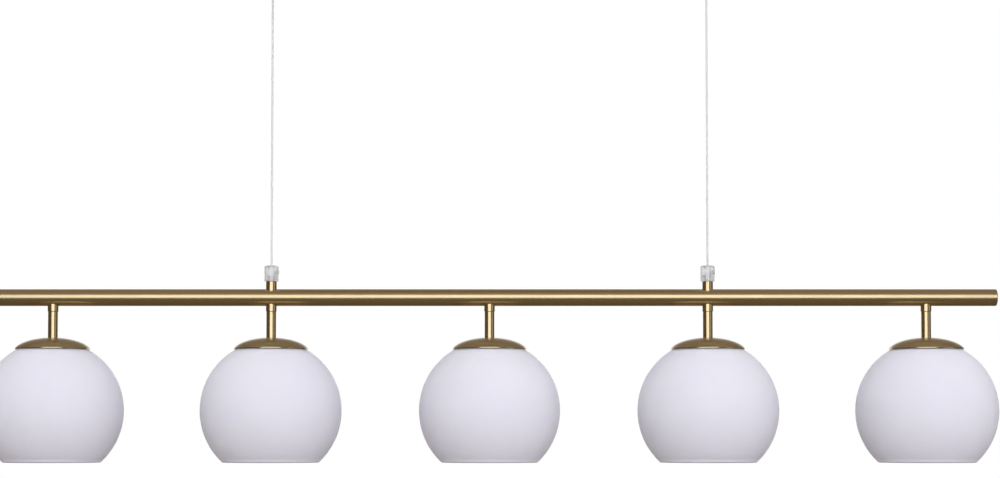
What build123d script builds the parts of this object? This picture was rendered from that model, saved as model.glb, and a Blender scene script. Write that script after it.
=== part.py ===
from build123d import *
from math import radians, sqrt, tan
import os

os.makedirs("parts", exist_ok=True)

# Linear pendant lamp. Origin: middle of the ceiling face. X runs along the bar, Z points up.
# All sizes in millimetres.

# Lamps along the bar, with the bar ends in line with the outer globes
LAMP_COUNT = 5
GLOBE_GAP = 82.5
HANGER_LAMPS = (1, LAMP_COUNT - 2)

# Bar
BAR_DIAMETER = 18.0
BAR_WALL = 1.0
PLUG_FLANGE = 4.0
PLUG_SPIGOT_LENGTH = 12.0
PLUG_EDGE = 0.8

# Threaded nipples and nuts
NIPPLE_DIAMETER = 8.0
NIPPLE_WALL = 1.2
NIPPLE_ENGAGEMENT = 9.0
NIPPLE_END = 3.0
NIPPLE_EDGE = 0.4
NUT_WALL = 2.5
NUT_THICKNESS = 4.0
NUT_EDGE = 0.5

# Collar and stem
STEM_WALL = 1.15
STEM_LENGTH = 27.5
STEM_EDGE = 0.25
COLLAR_STEP = 0.5
COLLAR_DROP = 6.0
COLLAR_EDGE = 0.35

# Spun cap
CAP_DIAMETER = 78.8
CAP_LIFT = 1.8
CAP_WALL = 1.0
CAP_RIM_FLARE = 1.6
CAP_LIP = 1.2
CAP_EDGE = 0.25

# Glass globe
GLOBE_DIAMETER = 150.0
GLASS_WALL = 3.0
MOUTH_DEPTH = 55.0
MOUTH_EDGE = 0.8

# Lampholder, from its screw shell outwards
SHELL_BORE = 14.0
SHELL_WALL = 0.4
SHELL_LENGTH = 20.0
SHELL_RECESS = 2.0
CONTACT_DIAMETER = 6.0
CONTACT_HEIGHT = 2.4
CONTACT_SPACE = 5.0
CONTACT_EDGE = 0.8
SOCKET_WALL = 2.0
SKIRT_GAP = 2.7
SKIRT_WALL = 1.8
SKIRT_DEPTH = 24.0
HOLDER_ROOF = 14.0
HOLDER_SHOULDER = 2.5
HOLDER_TOP_WALL = 3.4
HOLDER_EDGE = 0.8

# Shade ring
RING_WIDTH = 6.9
RING_HEIGHT = 7.0
RING_GROOVES = 18
RING_GROOVE_RADIUS = 1.6
RING_EDGE = 0.5

# Hanger stubs
STUB_HEIGHT = 8.2
STUB_EDGE = 0.35
SPIGOT_LENGTH = 7.0
SPIGOT_DEPTH_IN_BAR = 5.0

# Cord grips and their clamp screws
GRIP_WALL = 3.4
GRIP_TOP_EDGE = 1.3
GRIP_BOTTOM_EDGE = 0.4
BELL_DEPTH = 4.0
BELL_ANGLE = 28.0
SCREW_DIAMETER = 4.0
SCREW_LAND = 0.7
SCREW_STAND_OUT = 0.4
SCREW_SLOT_WIDTH = 0.8
SCREW_SLOT_DEPTH = 1.0

# Cables
CABLE_DIAMETER = 2.2
CABLE_DROP = 296.0
CABLE_TAIL = 2.0

# Ceiling fitting
CANOPY_OVERHANG = 32.5
CANOPY_WIDTH = 60.0
CANOPY_HEIGHT = 26.0
CANOPY_WALL = 1.0
CANOPY_INNER_CORNER = 4.0
CANOPY_INNER_EDGE = 1.5
CANOPY_RIM_GAP = 0.5
BRACKET_WIDTH = 30.0
BRACKET_THICKNESS = 1.5
BRACKET_FLOOR_GAP = 7.0
BRACKET_TAB_CORNER = 4.0
CEILING_SLOT_INSET = 85.0
CEILING_SLOT_WIDTH = 5.5
CEILING_SLOT_LENGTH = 14.0
END_SCREW_DIAMETER = 4.0
END_SCREW_LENGTH = 8.0
END_SCREW_EDGE_DISTANCE = 6.0
END_SCREW_HEAD_WIDTH = 1.75
END_SCREW_HEAD_HEIGHT = 2.6
END_SCREW_HEAD_EDGE = 1.0
TERMINAL_POLES = 3
TERMINAL_POLE_PITCH = 10.0
TERMINAL_END = 2.0
TERMINAL_WIDTH = 20.0
TERMINAL_HEIGHT = 14.0
TERMINAL_WIRE_HOLE = 4.2
TERMINAL_SCREW_HOLE = 4.6
TERMINAL_SCREW_DEPTH = 5.0
TERMINAL_SCREW_INSET = 5.0
TERMINAL_EDGE = 1.0

# Fits
SEAT_GAP = 0.05
THREAD_CLEARANCE = 0.1
HOLE_CLEARANCE = 0.2
CABLE_CLEARANCE = 0.3
GLASS_CLEARANCE = 0.3
GLASS_HOLE_CLEARANCE = 1.0
SCREW_TIP_CLEARANCE = 0.1

# Length by which a cutter runs past the face it cuts
OVERCUT = 2.0

# Diameters and lengths that follow from the sizes above
LAMP_PITCH = GLOBE_DIAMETER + GLOBE_GAP
BAR_LENGTH = (LAMP_COUNT - 1) * LAMP_PITCH + GLOBE_DIAMETER
BAR_BORE = BAR_DIAMETER - 2 * BAR_WALL
THREAD_HOLE = NIPPLE_DIAMETER + 2 * THREAD_CLEARANCE
NIPPLE_BORE = NIPPLE_DIAMETER - 2 * NIPPLE_WALL
NUT_ACROSS_FLATS = NIPPLE_DIAMETER + 2 * NUT_WALL
NUT_CORNERS = 2 * NUT_ACROSS_FLATS / sqrt(3)
STEM_DIAMETER = THREAD_HOLE + 2 * STEM_WALL
COLLAR_DIAMETER = STEM_DIAMETER + 2 * COLLAR_STEP
SHELL_DIAMETER = SHELL_BORE + 2 * SHELL_WALL
HOLDER_BORE = SHELL_DIAMETER + 2 * THREAD_CLEARANCE
HOLDER_BORE_DEPTH = SHELL_RECESS + SHELL_LENGTH + CONTACT_SPACE
SOCKET_DIAMETER = HOLDER_BORE + 2 * SOCKET_WALL
SKIRT_BORE = SOCKET_DIAMETER + 2 * SKIRT_GAP
HOLDER_DIAMETER = SKIRT_BORE + 2 * SKIRT_WALL
HOLDER_TOP_DIAMETER = THREAD_HOLE + 2 * HOLDER_TOP_WALL
RING_BORE = HOLDER_DIAMETER + 2 * THREAD_CLEARANCE
RING_DIAMETER = RING_BORE + 2 * RING_WIDTH
GLASS_HOLE = HOLDER_DIAMETER + 2 * GLASS_HOLE_CLEARANCE
GRIP_DIAMETER = THREAD_HOLE + 2 * GRIP_WALL
CLAMP_LENGTH = SCREW_DIAMETER + 2 * SCREW_LAND
CLAMP_START = SPIGOT_LENGTH + HOLE_CLEARANCE
GRIP_HEIGHT = CLAMP_START + CLAMP_LENGTH + BELL_DEPTH
SCREW_HEIGHT_ON_GRIP = CLAMP_START + CLAMP_LENGTH / 2
CABLE_HOLE = CABLE_DIAMETER + 2 * CABLE_CLEARANCE
SCREW_HOLE = SCREW_DIAMETER + 2 * THREAD_CLEARANCE
BRACKET_TAB = CANOPY_HEIGHT - CANOPY_WALL - BRACKET_FLOOR_GAP
END_SCREW_DROP = BRACKET_TAB - END_SCREW_EDGE_DISTANCE
END_SCREW_HEAD_DIAMETER = END_SCREW_DIAMETER + 2 * END_SCREW_HEAD_WIDTH
TERMINAL_LENGTH = TERMINAL_POLES * TERMINAL_POLE_PITCH + 2 * TERMINAL_END

LAMP_X = [(index - (LAMP_COUNT - 1) / 2) * LAMP_PITCH for index in range(LAMP_COUNT)]
HANGER_X = [LAMP_X[index] for index in HANGER_LAMPS]
CANOPY_LENGTH = HANGER_X[1] - HANGER_X[0] + 2 * CANOPY_OVERHANG
SIDES = ("left", "right")

# The cap follows the globe: an upright lip on the glass, then an ellipse to a top just above the globe's pole
GLOBE_RADIUS = GLOBE_DIAMETER / 2
GLASS_INNER_RADIUS = GLOBE_RADIUS - GLASS_WALL
CAP_HEIGHT = GLOBE_RADIUS - sqrt(GLOBE_RADIUS ** 2 - (CAP_DIAMETER / 2) ** 2) + CAP_LIFT
CAP_CURVE_RADIUS = CAP_DIAMETER / 2 + CAP_RIM_FLARE
CAP_CURVE_RISE = (CAP_HEIGHT - CAP_LIP) / (1 - sqrt(1 - (CAP_DIAMETER / 2 / CAP_CURVE_RADIUS) ** 2))
CAP_INNER_RADIUS = CAP_CURVE_RADIUS - CAP_WALL
CAP_INNER_RISE = CAP_CURVE_RISE - CAP_WALL

# Heights, from the ceiling down
CEILING_GRIP_TOP = -CANOPY_HEIGHT - SEAT_GAP
CEILING_GRIP_MOUTH = CEILING_GRIP_TOP - GRIP_HEIGHT
SWING_AXIS = CEILING_GRIP_MOUTH + BELL_DEPTH
BAR_GRIP_TOP = CEILING_GRIP_MOUTH - CABLE_DROP
BAR_GRIP_SEAT = BAR_GRIP_TOP - GRIP_HEIGHT
STUB_TOP = BAR_GRIP_SEAT - SEAT_GAP
BAR_TOP = STUB_TOP - STUB_HEIGHT
BAR_AXIS = BAR_TOP - BAR_DIAMETER / 2
SPIGOT_BOTTOM = BAR_TOP - SPIGOT_DEPTH_IN_BAR
COLLAR_BOTTOM = BAR_AXIS - BAR_DIAMETER / 2 - COLLAR_DROP
STEM_TOP = COLLAR_BOTTOM - SEAT_GAP
STEM_BOTTOM = STEM_TOP - STEM_LENGTH
CAP_TOP = STEM_BOTTOM - SEAT_GAP
CAP_RIM = CAP_TOP - CAP_HEIGHT
CAP_LIP_TOP = CAP_RIM + CAP_LIP
CAP_CURVE_CENTRE = CAP_TOP - CAP_CURVE_RISE
CAP_RIM_INNER = CAP_INNER_RADIUS * sqrt(1 - ((CAP_LIP_TOP - CAP_CURVE_CENTRE) / CAP_INNER_RISE) ** 2)

# The lampholder meets the underside of the cap with its top edge and clamps the cap to the stem
HOLDER_SHARE = sqrt(1 - (HOLDER_TOP_DIAMETER / 2 / CAP_INNER_RADIUS) ** 2)
HOLDER_TOP = CAP_CURVE_CENTRE + CAP_INNER_RISE * HOLDER_SHARE - SEAT_GAP
SKIRT_TOP = HOLDER_TOP - HOLDER_SHOULDER
BORE_FLOOR = SKIRT_TOP - HOLDER_ROOF
HOLDER_BOTTOM = BORE_FLOOR - HOLDER_BORE_DEPTH

# The glass rests under the inner edge of the cap rim, and the ring under the glass
GLOBE_CENTRE = CAP_RIM - sqrt((GLOBE_RADIUS + GLASS_CLEARANCE) ** 2 - CAP_RIM_INNER ** 2)
MOUTH = GLOBE_CENTRE - MOUTH_DEPTH
RING_TOP = GLOBE_CENTRE + sqrt((GLASS_INNER_RADIUS - GLASS_CLEARANCE) ** 2 - (RING_DIAMETER / 2) ** 2)
RING_BOTTOM = RING_TOP - RING_HEIGHT


def save(shape, node):
    export_step(shape, f"parts/{node}.step")


def rod(diameter, low, high):
    """Upright cylinder on the Z axis between two heights."""
    return Pos(0, 0, low) * Cylinder(diameter / 2, high - low, align=(Align.CENTER, Align.CENTER, Align.MIN))


def hole(diameter, low, high):
    """Cutter that runs past both heights."""
    return rod(diameter, low - OVERCUT, high + OVERCUT)


def bar_rod(diameter, length):
    """Cylinder along X on the bar axis, centred on the lamp."""
    return Pos(0, 0, BAR_AXIS) * Rot(0, 90, 0) * Cylinder(diameter / 2, length)


def turned(points):
    """Solid of revolution about Z from a closed radius and height outline."""
    return revolve(make_face(Plane.XZ * Polyline(*points, close=True)), Axis.Z)


def lowest_edges(shape):
    return shape.edges().filter_by(GeomType.CIRCLE).group_by(Axis.Z)[0]


def highest_edges(shape):
    return shape.edges().filter_by(GeomType.CIRCLE).group_by(Axis.Z)[-1]


def group(shapes):
    return Compound(children=list(shapes))


def nipple(low, high):
    shape = chamfer(rod(NIPPLE_DIAMETER, low, high).edges().filter_by(GeomType.CIRCLE), NIPPLE_EDGE)
    return shape - hole(NIPPLE_BORE, low, high)


def hex_nut(low):
    blank = extrude(Pos(0, 0, low) * RegularPolygon(NUT_ACROSS_FLATS / 2, 6, major_radius=False), NUT_THICKNESS)
    round_blank = rod(NUT_CORNERS, low, low + NUT_THICKNESS)
    round_blank = chamfer(round_blank.edges().filter_by(GeomType.CIRCLE), NUT_EDGE)
    return (blank & round_blank) - hole(THREAD_HOLE, low, low + NUT_THICKNESS)


def cord_grip():
    """Clear grip, standing on its threaded end at height zero, clamp screw hole towards +X."""
    body = rod(GRIP_DIAMETER, 0, GRIP_HEIGHT)
    body = fillet(highest_edges(body), GRIP_TOP_EDGE)
    body = chamfer(lowest_edges(body), GRIP_BOTTOM_EDGE)
    body -= rod(THREAD_HOLE, -OVERCUT, CLAMP_START)
    body -= rod(CABLE_HOLE, 0, GRIP_HEIGHT + OVERCUT)
    bell_start = GRIP_HEIGHT - BELL_DEPTH
    spread = tan(radians(BELL_ANGLE))
    bell = turned([
        (0, bell_start),
        (CABLE_HOLE / 2, bell_start),
        (CABLE_HOLE / 2 + (BELL_DEPTH + OVERCUT) * spread, GRIP_HEIGHT + OVERCUT),
        (0, GRIP_HEIGHT + OVERCUT)])
    body -= bell
    side = Pos(0, 0, SCREW_HEIGHT_ON_GRIP) * Rot(0, 90, 0)
    body -= side * rod(SCREW_HOLE, 0, GRIP_DIAMETER)
    return body


def clamp_screw():
    """Slotted grub screw of the cord grip, in the same place as its hole."""
    tip = CABLE_DIAMETER / 2 + SCREW_TIP_CLEARANCE
    end = GRIP_DIAMETER / 2 + SCREW_STAND_OUT
    screw = rod(SCREW_DIAMETER, tip, end)
    slot = Pos(0, 0, end) * Box(SCREW_SLOT_WIDTH, SCREW_DIAMETER + OVERCUT, 2 * SCREW_SLOT_DEPTH)
    return Pos(0, 0, SCREW_HEIGHT_ON_GRIP) * Rot(0, 90, 0) * (screw - slot)


# Bar tube with its holes
tube_length = BAR_LENGTH - 2 * (PLUG_FLANGE + SEAT_GAP)
bar_tube = bar_rod(BAR_DIAMETER, tube_length) - bar_rod(BAR_BORE, tube_length + 2 * OVERCUT)
for x in LAMP_X:
    bar_tube -= Pos(x, 0, 0) * rod(THREAD_HOLE, BAR_AXIS - BAR_DIAMETER, BAR_AXIS)
for x in HANGER_X:
    bar_tube -= Pos(x, 0, 0) * rod(THREAD_HOLE, BAR_AXIS, BAR_AXIS + BAR_DIAMETER)
save(bar_tube, "bar_tube")

# End plugs, turned on the Z axis and then laid along the bar
plug = rod(BAR_DIAMETER, 0, PLUG_FLANGE)
plug = fillet(highest_edges(plug), PLUG_EDGE)
plug_spigot = rod(BAR_BORE - 2 * THREAD_CLEARANCE, -PLUG_SPIGOT_LENGTH, 0)
plug += chamfer(lowest_edges(plug_spigot), PLUG_EDGE)
plug_x = BAR_LENGTH / 2 - PLUG_FLANGE
save(Pos(plug_x, 0, BAR_AXIS) * Rot(0, 90, 0) * plug, "end_plug_right")
save(Pos(-plug_x, 0, BAR_AXIS) * Rot(0, -90, 0) * plug, "end_plug_left")

# Hanger stubs, saddled on the bar
stub = rod(COLLAR_DIAMETER, BAR_AXIS, STUB_TOP)
stub = chamfer(highest_edges(stub), STUB_EDGE)
stub -= bar_rod(BAR_DIAMETER + 2 * SEAT_GAP, COLLAR_DIAMETER + OVERCUT)
spigot = rod(NIPPLE_DIAMETER, SPIGOT_BOTTOM, STUB_TOP + SPIGOT_LENGTH)
stub += chamfer(spigot.edges().filter_by(GeomType.CIRCLE), NIPPLE_EDGE)
stub -= hole(CABLE_HOLE, BAR_AXIS, STUB_TOP + SPIGOT_LENGTH)
for side, x in zip(SIDES, HANGER_X):
    save(Pos(x, 0, 0) * stub, f"hanger_stub_{side}")

# Cord grips on the stubs and, upside down, under the canopy
grip = cord_grip()
screw = clamp_screw()
on_bar = Pos(0, 0, BAR_GRIP_SEAT)
under_canopy = Pos(0, 0, CEILING_GRIP_TOP) * Rot(180, 0, 0)
for side, x in zip(SIDES, HANGER_X):
    save(Pos(x, 0, 0) * on_bar * grip, f"bar_grip_{side}")
    save(Pos(x, 0, 0) * under_canopy * grip, f"ceiling_grip_{side}")
save(group(Pos(x, 0, 0) * on_bar * screw for x in HANGER_X), "bar_grip_screws")
save(group(Pos(x, 0, 0) * under_canopy * screw for x in HANGER_X), "ceiling_grip_screws")

# Cables, round at the top where they swing in the bell mouth
cable = rod(CABLE_DIAMETER, SPIGOT_BOTTOM - CABLE_TAIL, SWING_AXIS)
cable += Pos(0, 0, SWING_AXIS) * Sphere(CABLE_DIAMETER / 2)
for side, x in zip(SIDES, HANGER_X):
    save(Pos(x, 0, 0) * cable, f"cable_{side}")

# Collars, saddled under the bar
collar = rod(COLLAR_DIAMETER, COLLAR_BOTTOM, BAR_AXIS)
collar = chamfer(lowest_edges(collar), COLLAR_EDGE)
collar -= bar_rod(BAR_DIAMETER + 2 * SEAT_GAP, COLLAR_DIAMETER + OVERCUT)
collar -= hole(THREAD_HOLE, COLLAR_BOTTOM, BAR_AXIS)

# Stems
stem = rod(STEM_DIAMETER, STEM_BOTTOM, STEM_TOP)
stem = chamfer(stem.edges().filter_by(GeomType.CIRCLE), STEM_EDGE)
stem -= hole(THREAD_HOLE, STEM_BOTTOM, STEM_TOP)

# Spun cap with its lip
cap_outer = Plane.XZ * Pos(0, CAP_CURVE_CENTRE) * Ellipse(CAP_CURVE_RADIUS, CAP_CURVE_RISE)
cap_inner = Plane.XZ * Pos(0, CAP_CURVE_CENTRE) * Ellipse(CAP_INNER_RADIUS, CAP_INNER_RISE)
cap_window = Plane.XZ * Pos(0, CAP_LIP_TOP) * Rectangle(
    CAP_DIAMETER / 2, CAP_HEIGHT + OVERCUT, align=(Align.MIN, Align.MIN))
cap_lip = Plane.XZ * Pos(CAP_RIM_INNER, CAP_RIM) * Rectangle(
    CAP_DIAMETER / 2 - CAP_RIM_INNER, CAP_LIP, align=(Align.MIN, Align.MIN))
cap = revolve(((cap_outer - cap_inner) & cap_window) + cap_lip, Axis.Z)
cap = fillet(lowest_edges(cap), CAP_EDGE)
cap -= hole(THREAD_HOLE, CAP_RIM, CAP_TOP)

# Glass globe with its top hole and its open mouth
globe_ring = Plane.XZ * Pos(0, GLOBE_CENTRE) * (Circle(GLOBE_RADIUS) - Circle(GLASS_INNER_RADIUS))
globe_window = Plane.XZ * Pos(GLASS_HOLE / 2, MOUTH) * Rectangle(
    GLOBE_RADIUS, GLOBE_RADIUS + MOUTH_DEPTH, align=(Align.MIN, Align.MIN))
shade = revolve(globe_ring & globe_window, Axis.Z)
shade = fillet(lowest_edges(shade), MOUTH_EDGE)

# Lampholder: domed top on the nipple, outer skirt for the ring, inner socket for the bulb
holder = turned([
    (0, HOLDER_TOP),
    (HOLDER_TOP_DIAMETER / 2, HOLDER_TOP),
    (HOLDER_DIAMETER / 2, SKIRT_TOP),
    (HOLDER_DIAMETER / 2, HOLDER_BOTTOM),
    (0, HOLDER_BOTTOM)])
holder = chamfer(lowest_edges(holder), HOLDER_EDGE)
holder -= rod(THREAD_HOLE, HOLDER_TOP - NIPPLE_ENGAGEMENT - HOLE_CLEARANCE, HOLDER_TOP + OVERCUT)
holder -= rod(HOLDER_BORE, HOLDER_BOTTOM - OVERCUT, BORE_FLOOR)
skirt_end = HOLDER_BOTTOM + SKIRT_DEPTH
holder -= (rod(SKIRT_BORE, HOLDER_BOTTOM - OVERCUT, skirt_end)
           - hole(SOCKET_DIAMETER, HOLDER_BOTTOM - OVERCUT, skirt_end))

# Screw shell and centre contact
shell_bottom = HOLDER_BOTTOM + SHELL_RECESS
shell = (rod(SHELL_DIAMETER, shell_bottom, shell_bottom + SHELL_LENGTH)
         - hole(SHELL_BORE, shell_bottom, shell_bottom + SHELL_LENGTH))
contact = rod(CONTACT_DIAMETER, BORE_FLOOR - CONTACT_HEIGHT, BORE_FLOOR - SEAT_GAP)
contact = fillet(lowest_edges(contact), CONTACT_EDGE)

# Ring under the glass
ring = rod(RING_DIAMETER, RING_BOTTOM, RING_TOP)
ring = chamfer(ring.edges().filter_by(GeomType.CIRCLE), RING_EDGE)
ring -= hole(RING_BORE, RING_BOTTOM, RING_TOP)
groove = hole(2 * RING_GROOVE_RADIUS, RING_BOTTOM, RING_TOP)
for index in range(RING_GROOVES):
    ring -= Rot(0, 0, index * 360 / RING_GROOVES) * Pos(RING_DIAMETER / 2 + RING_EDGE, 0, 0) * groove

for index, x in enumerate(LAMP_X):
    number = index + 1
    place = Pos(x, 0, 0)
    save(place * collar, f"collar_{number}")
    save(place * stem, f"stem_{number}")
    save(place * cap, f"cap_{number}")
    save(place * shade, f"shade_{number}")
    save(place * holder, f"lampholder_{number}")
    save(place * ring, f"shade_ring_{number}")
    save(place * shell, f"screw_shell_{number}")

# Nipples and contacts of all lamps
stem_nipple = nipple(STEM_TOP - NIPPLE_ENGAGEMENT, BAR_AXIS - BAR_BORE / 2 + NIPPLE_END)
holder_nipple = nipple(HOLDER_TOP - NIPPLE_ENGAGEMENT, STEM_BOTTOM + NIPPLE_ENGAGEMENT)
save(group(Pos(x, 0, 0) * stem_nipple for x in LAMP_X), "stem_nipples")
save(group(Pos(x, 0, 0) * holder_nipple for x in LAMP_X), "holder_nipples")
save(group(Pos(x, 0, 0) * contact for x in LAMP_X), "centre_contacts")

# Canopy cover, a tray that is open towards the ceiling
floor_inside = -CANOPY_HEIGHT + CANOPY_WALL
tray_height = CANOPY_HEIGHT - CANOPY_RIM_GAP
canopy = Pos(0, 0, -CANOPY_HEIGHT) * Box(
    CANOPY_LENGTH, CANOPY_WIDTH, tray_height, align=(Align.CENTER, Align.CENTER, Align.MIN))
canopy = fillet(canopy.edges().filter_by(Axis.Z), CANOPY_INNER_CORNER + CANOPY_WALL)
canopy = fillet(canopy.faces().sort_by(Axis.Z)[0].edges(), CANOPY_INNER_EDGE + CANOPY_WALL)
hollow = Pos(0, 0, floor_inside) * Box(
    CANOPY_LENGTH - 2 * CANOPY_WALL, CANOPY_WIDTH - 2 * CANOPY_WALL, CANOPY_HEIGHT + OVERCUT,
    align=(Align.CENTER, Align.CENTER, Align.MIN))
hollow = fillet(hollow.edges().filter_by(Axis.Z), CANOPY_INNER_CORNER)
hollow = fillet(hollow.faces().sort_by(Axis.Z)[0].edges(), CANOPY_INNER_EDGE)
canopy -= hollow
for x in HANGER_X:
    canopy -= Pos(x, 0, 0) * hole(THREAD_HOLE, -CANOPY_HEIGHT, floor_inside)
end_screw_hole = Pos(0, 0, -END_SCREW_DROP) * Rot(0, 90, 0) * Cylinder(
    END_SCREW_DIAMETER / 2 + HOLE_CLEARANCE, CANOPY_LENGTH + OVERCUT)
canopy -= end_screw_hole
save(canopy, "canopy_cover")

# Ceiling bracket: strip with a tab bent down at each end
bracket_length = CANOPY_LENGTH - 2 * (CANOPY_WALL + HOLE_CLEARANCE)
strip = Box(bracket_length, BRACKET_WIDTH, BRACKET_THICKNESS, align=(Align.CENTER, Align.CENTER, Align.MAX))
bracket = strip
for direction in (-1, 1):
    tab = Pos(direction * (bracket_length - BRACKET_THICKNESS) / 2, 0, 0) * Box(
        BRACKET_THICKNESS, BRACKET_WIDTH, BRACKET_TAB, align=(Align.CENTER, Align.CENTER, Align.MAX))
    tab = fillet(tab.edges().filter_by(Axis.X).group_by(Axis.Z)[0], BRACKET_TAB_CORNER)
    bracket += tab
outer_bends = [edge for edge in bracket.edges().filter_by(Axis.Y).group_by(Axis.Z)[-1]]
bracket = fillet(outer_bends, BRACKET_THICKNESS)
slot_cut = extrude(SlotOverall(CEILING_SLOT_LENGTH, CEILING_SLOT_WIDTH), BRACKET_THICKNESS + OVERCUT, both=True)
for direction in (-1, 1):
    bracket -= Pos(direction * (CANOPY_LENGTH / 2 - CEILING_SLOT_INSET), 0, 0) * slot_cut
bracket -= Pos(0, 0, -END_SCREW_DROP) * Rot(0, 90, 0) * Cylinder(
    END_SCREW_DIAMETER / 2 + THREAD_CLEARANCE, CANOPY_LENGTH)
save(bracket, "ceiling_bracket")

# Screws in the ends of the cover
end_screw = rod(END_SCREW_DIAMETER, -END_SCREW_LENGTH, 0)
screw_head = rod(END_SCREW_HEAD_DIAMETER, 0, END_SCREW_HEAD_HEIGHT)
screw_head = fillet(highest_edges(screw_head), END_SCREW_HEAD_EDGE)
screw_head -= Pos(0, 0, END_SCREW_HEAD_HEIGHT) * Box(
    SCREW_SLOT_WIDTH, END_SCREW_HEAD_DIAMETER + OVERCUT, 2 * SCREW_SLOT_DEPTH)
end_screw += screw_head
head_seat = CANOPY_LENGTH / 2 + SEAT_GAP
save(group([
    Pos(-head_seat, 0, -END_SCREW_DROP) * Rot(0, -90, 0) * end_screw,
    Pos(head_seat, 0, -END_SCREW_DROP) * Rot(0, 90, 0) * end_screw]), "canopy_screws")

# Nipples and nuts of the ceiling grips
ceiling_nut_low = floor_inside + SEAT_GAP
ceiling_nipple = nipple(CEILING_GRIP_TOP - SPIGOT_LENGTH, ceiling_nut_low + NUT_THICKNESS + NIPPLE_END)
ceiling_nut = hex_nut(ceiling_nut_low)
save(group(Pos(x, 0, 0) * ceiling_nipple for x in HANGER_X), "ceiling_nipples")
save(group(Pos(x, 0, 0) * ceiling_nut for x in HANGER_X), "ceiling_nuts")

# Terminal block under the strip
terminal_top = -BRACKET_THICKNESS - SEAT_GAP
terminal = Pos(0, 0, terminal_top) * Box(
    TERMINAL_LENGTH, TERMINAL_WIDTH, TERMINAL_HEIGHT, align=(Align.CENTER, Align.CENTER, Align.MAX))
terminal = chamfer(terminal.edges().filter_by(Axis.Z), TERMINAL_EDGE)
terminal_middle = terminal_top - TERMINAL_HEIGHT / 2
for index in range(TERMINAL_POLES):
    pole = Pos((index - (TERMINAL_POLES - 1) / 2) * TERMINAL_POLE_PITCH, 0, 0)
    terminal -= pole * Pos(0, 0, terminal_middle) * Rot(90, 0, 0) * Cylinder(
        TERMINAL_WIRE_HOLE / 2, TERMINAL_WIDTH + OVERCUT)
    for direction in (-1, 1):
        terminal -= pole * Pos(0, direction * (TERMINAL_WIDTH / 2 - TERMINAL_SCREW_INSET), 0) * rod(
            TERMINAL_SCREW_HOLE, terminal_top - TERMINAL_HEIGHT - OVERCUT,
            terminal_top - TERMINAL_HEIGHT + TERMINAL_SCREW_DEPTH)
save(terminal, "terminal_block")
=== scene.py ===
# %% [markdown]
# # A row of opal globes on a brass bar
# The lamp hangs from a ceiling fitting on two clear cables. A satin brass bar carries five short
# stems, and under each stem a spun cap holds an opal glass globe that is open at the bottom.
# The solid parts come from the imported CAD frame. This lesson dresses them: it turns the glass and
# the caps again with round edges, cuts the threads, and gives every piece a finish made of nodes.

# %% Load the frame
import math

import bmesh
import bpy
from mathutils import Matrix, Vector


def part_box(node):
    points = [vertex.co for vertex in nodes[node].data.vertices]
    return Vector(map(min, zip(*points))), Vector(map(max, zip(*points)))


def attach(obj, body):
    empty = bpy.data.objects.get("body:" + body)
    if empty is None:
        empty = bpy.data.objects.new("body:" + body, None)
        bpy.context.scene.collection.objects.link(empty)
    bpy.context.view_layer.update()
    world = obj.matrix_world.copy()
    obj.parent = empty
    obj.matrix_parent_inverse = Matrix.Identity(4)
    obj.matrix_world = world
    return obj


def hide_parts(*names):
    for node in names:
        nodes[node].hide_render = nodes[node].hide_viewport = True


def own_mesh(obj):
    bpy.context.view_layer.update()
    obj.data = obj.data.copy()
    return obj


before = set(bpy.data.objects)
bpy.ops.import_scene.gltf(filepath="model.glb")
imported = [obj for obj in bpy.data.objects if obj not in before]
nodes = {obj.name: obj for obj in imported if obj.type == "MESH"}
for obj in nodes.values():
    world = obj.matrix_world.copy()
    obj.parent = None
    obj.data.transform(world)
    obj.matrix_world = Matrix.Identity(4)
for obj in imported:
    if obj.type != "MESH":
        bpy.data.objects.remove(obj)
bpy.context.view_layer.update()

# %% [markdown]
# The places of the pieces are read from the frame, so the dressed pieces follow the solids. The lamps
# are numbered from left to right, as the camera sees them. A cable has a round top end, and the lamp
# swings about the middle of that end.

# %% Places on the lamp
MM = 0.001
LAMPS = range(1, 6)
SIDES = ("left", "right")
CABLE_DIAMETER = 2.2 * MM

extents = {name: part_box(name) for name in nodes}


def low(node):
    return extents[node][0]


def high(node):
    return extents[node][1]


def middle(node):
    return (low(node) + high(node)) / 2


def half_width(node):
    return (high(node).x - low(node).x) / 2


def full_height(node):
    return high(node).z - low(node).z


lamp_x = {number: middle(f"stem_{number}").x for number in LAMPS}
lamp_pitch = lamp_x[2] - lamp_x[1]
bar_height = middle("bar_tube").z
swing_height = high("cable_left").z - CABLE_DIAMETER / 2
print("bar axis at", round(bar_height, 4), "lamps every", round(lamp_pitch, 4))

# %% [markdown]
# ## Camera
# The photograph was taken from a little above the mouths of the globes: the caps show from below and
# the mouths are almost edge on. A camera that only tilted up would lean the cables inwards, so most
# of the framing is done with a small lens shift and the rest with a slight tilt.

# %% Camera
IMAGE_WIDTH, IMAGE_HEIGHT = 1000, 478
MM_PER_PIXEL = 1.0638
CAMERA_DISTANCE = 2.2
SENSOR_WIDTH = 36.0
EYE_LEVEL_PIXEL = 440
BAR_PIXEL = 297.5
CENTRE_PIXEL = 489.5
LENS_SHIFT = 0.11

picture_width = IMAGE_WIDTH * MM_PER_PIXEL * MM
focal_pixels = CAMERA_DISTANCE / (MM_PER_PIXEL * MM)
eye_height = bar_height - (EYE_LEVEL_PIXEL - BAR_PIXEL) * MM_PER_PIXEL * MM
tilt_pixels = EYE_LEVEL_PIXEL - IMAGE_HEIGHT / 2 - LENS_SHIFT * IMAGE_WIDTH
tilt = math.atan(tilt_pixels / focal_pixels)

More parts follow.
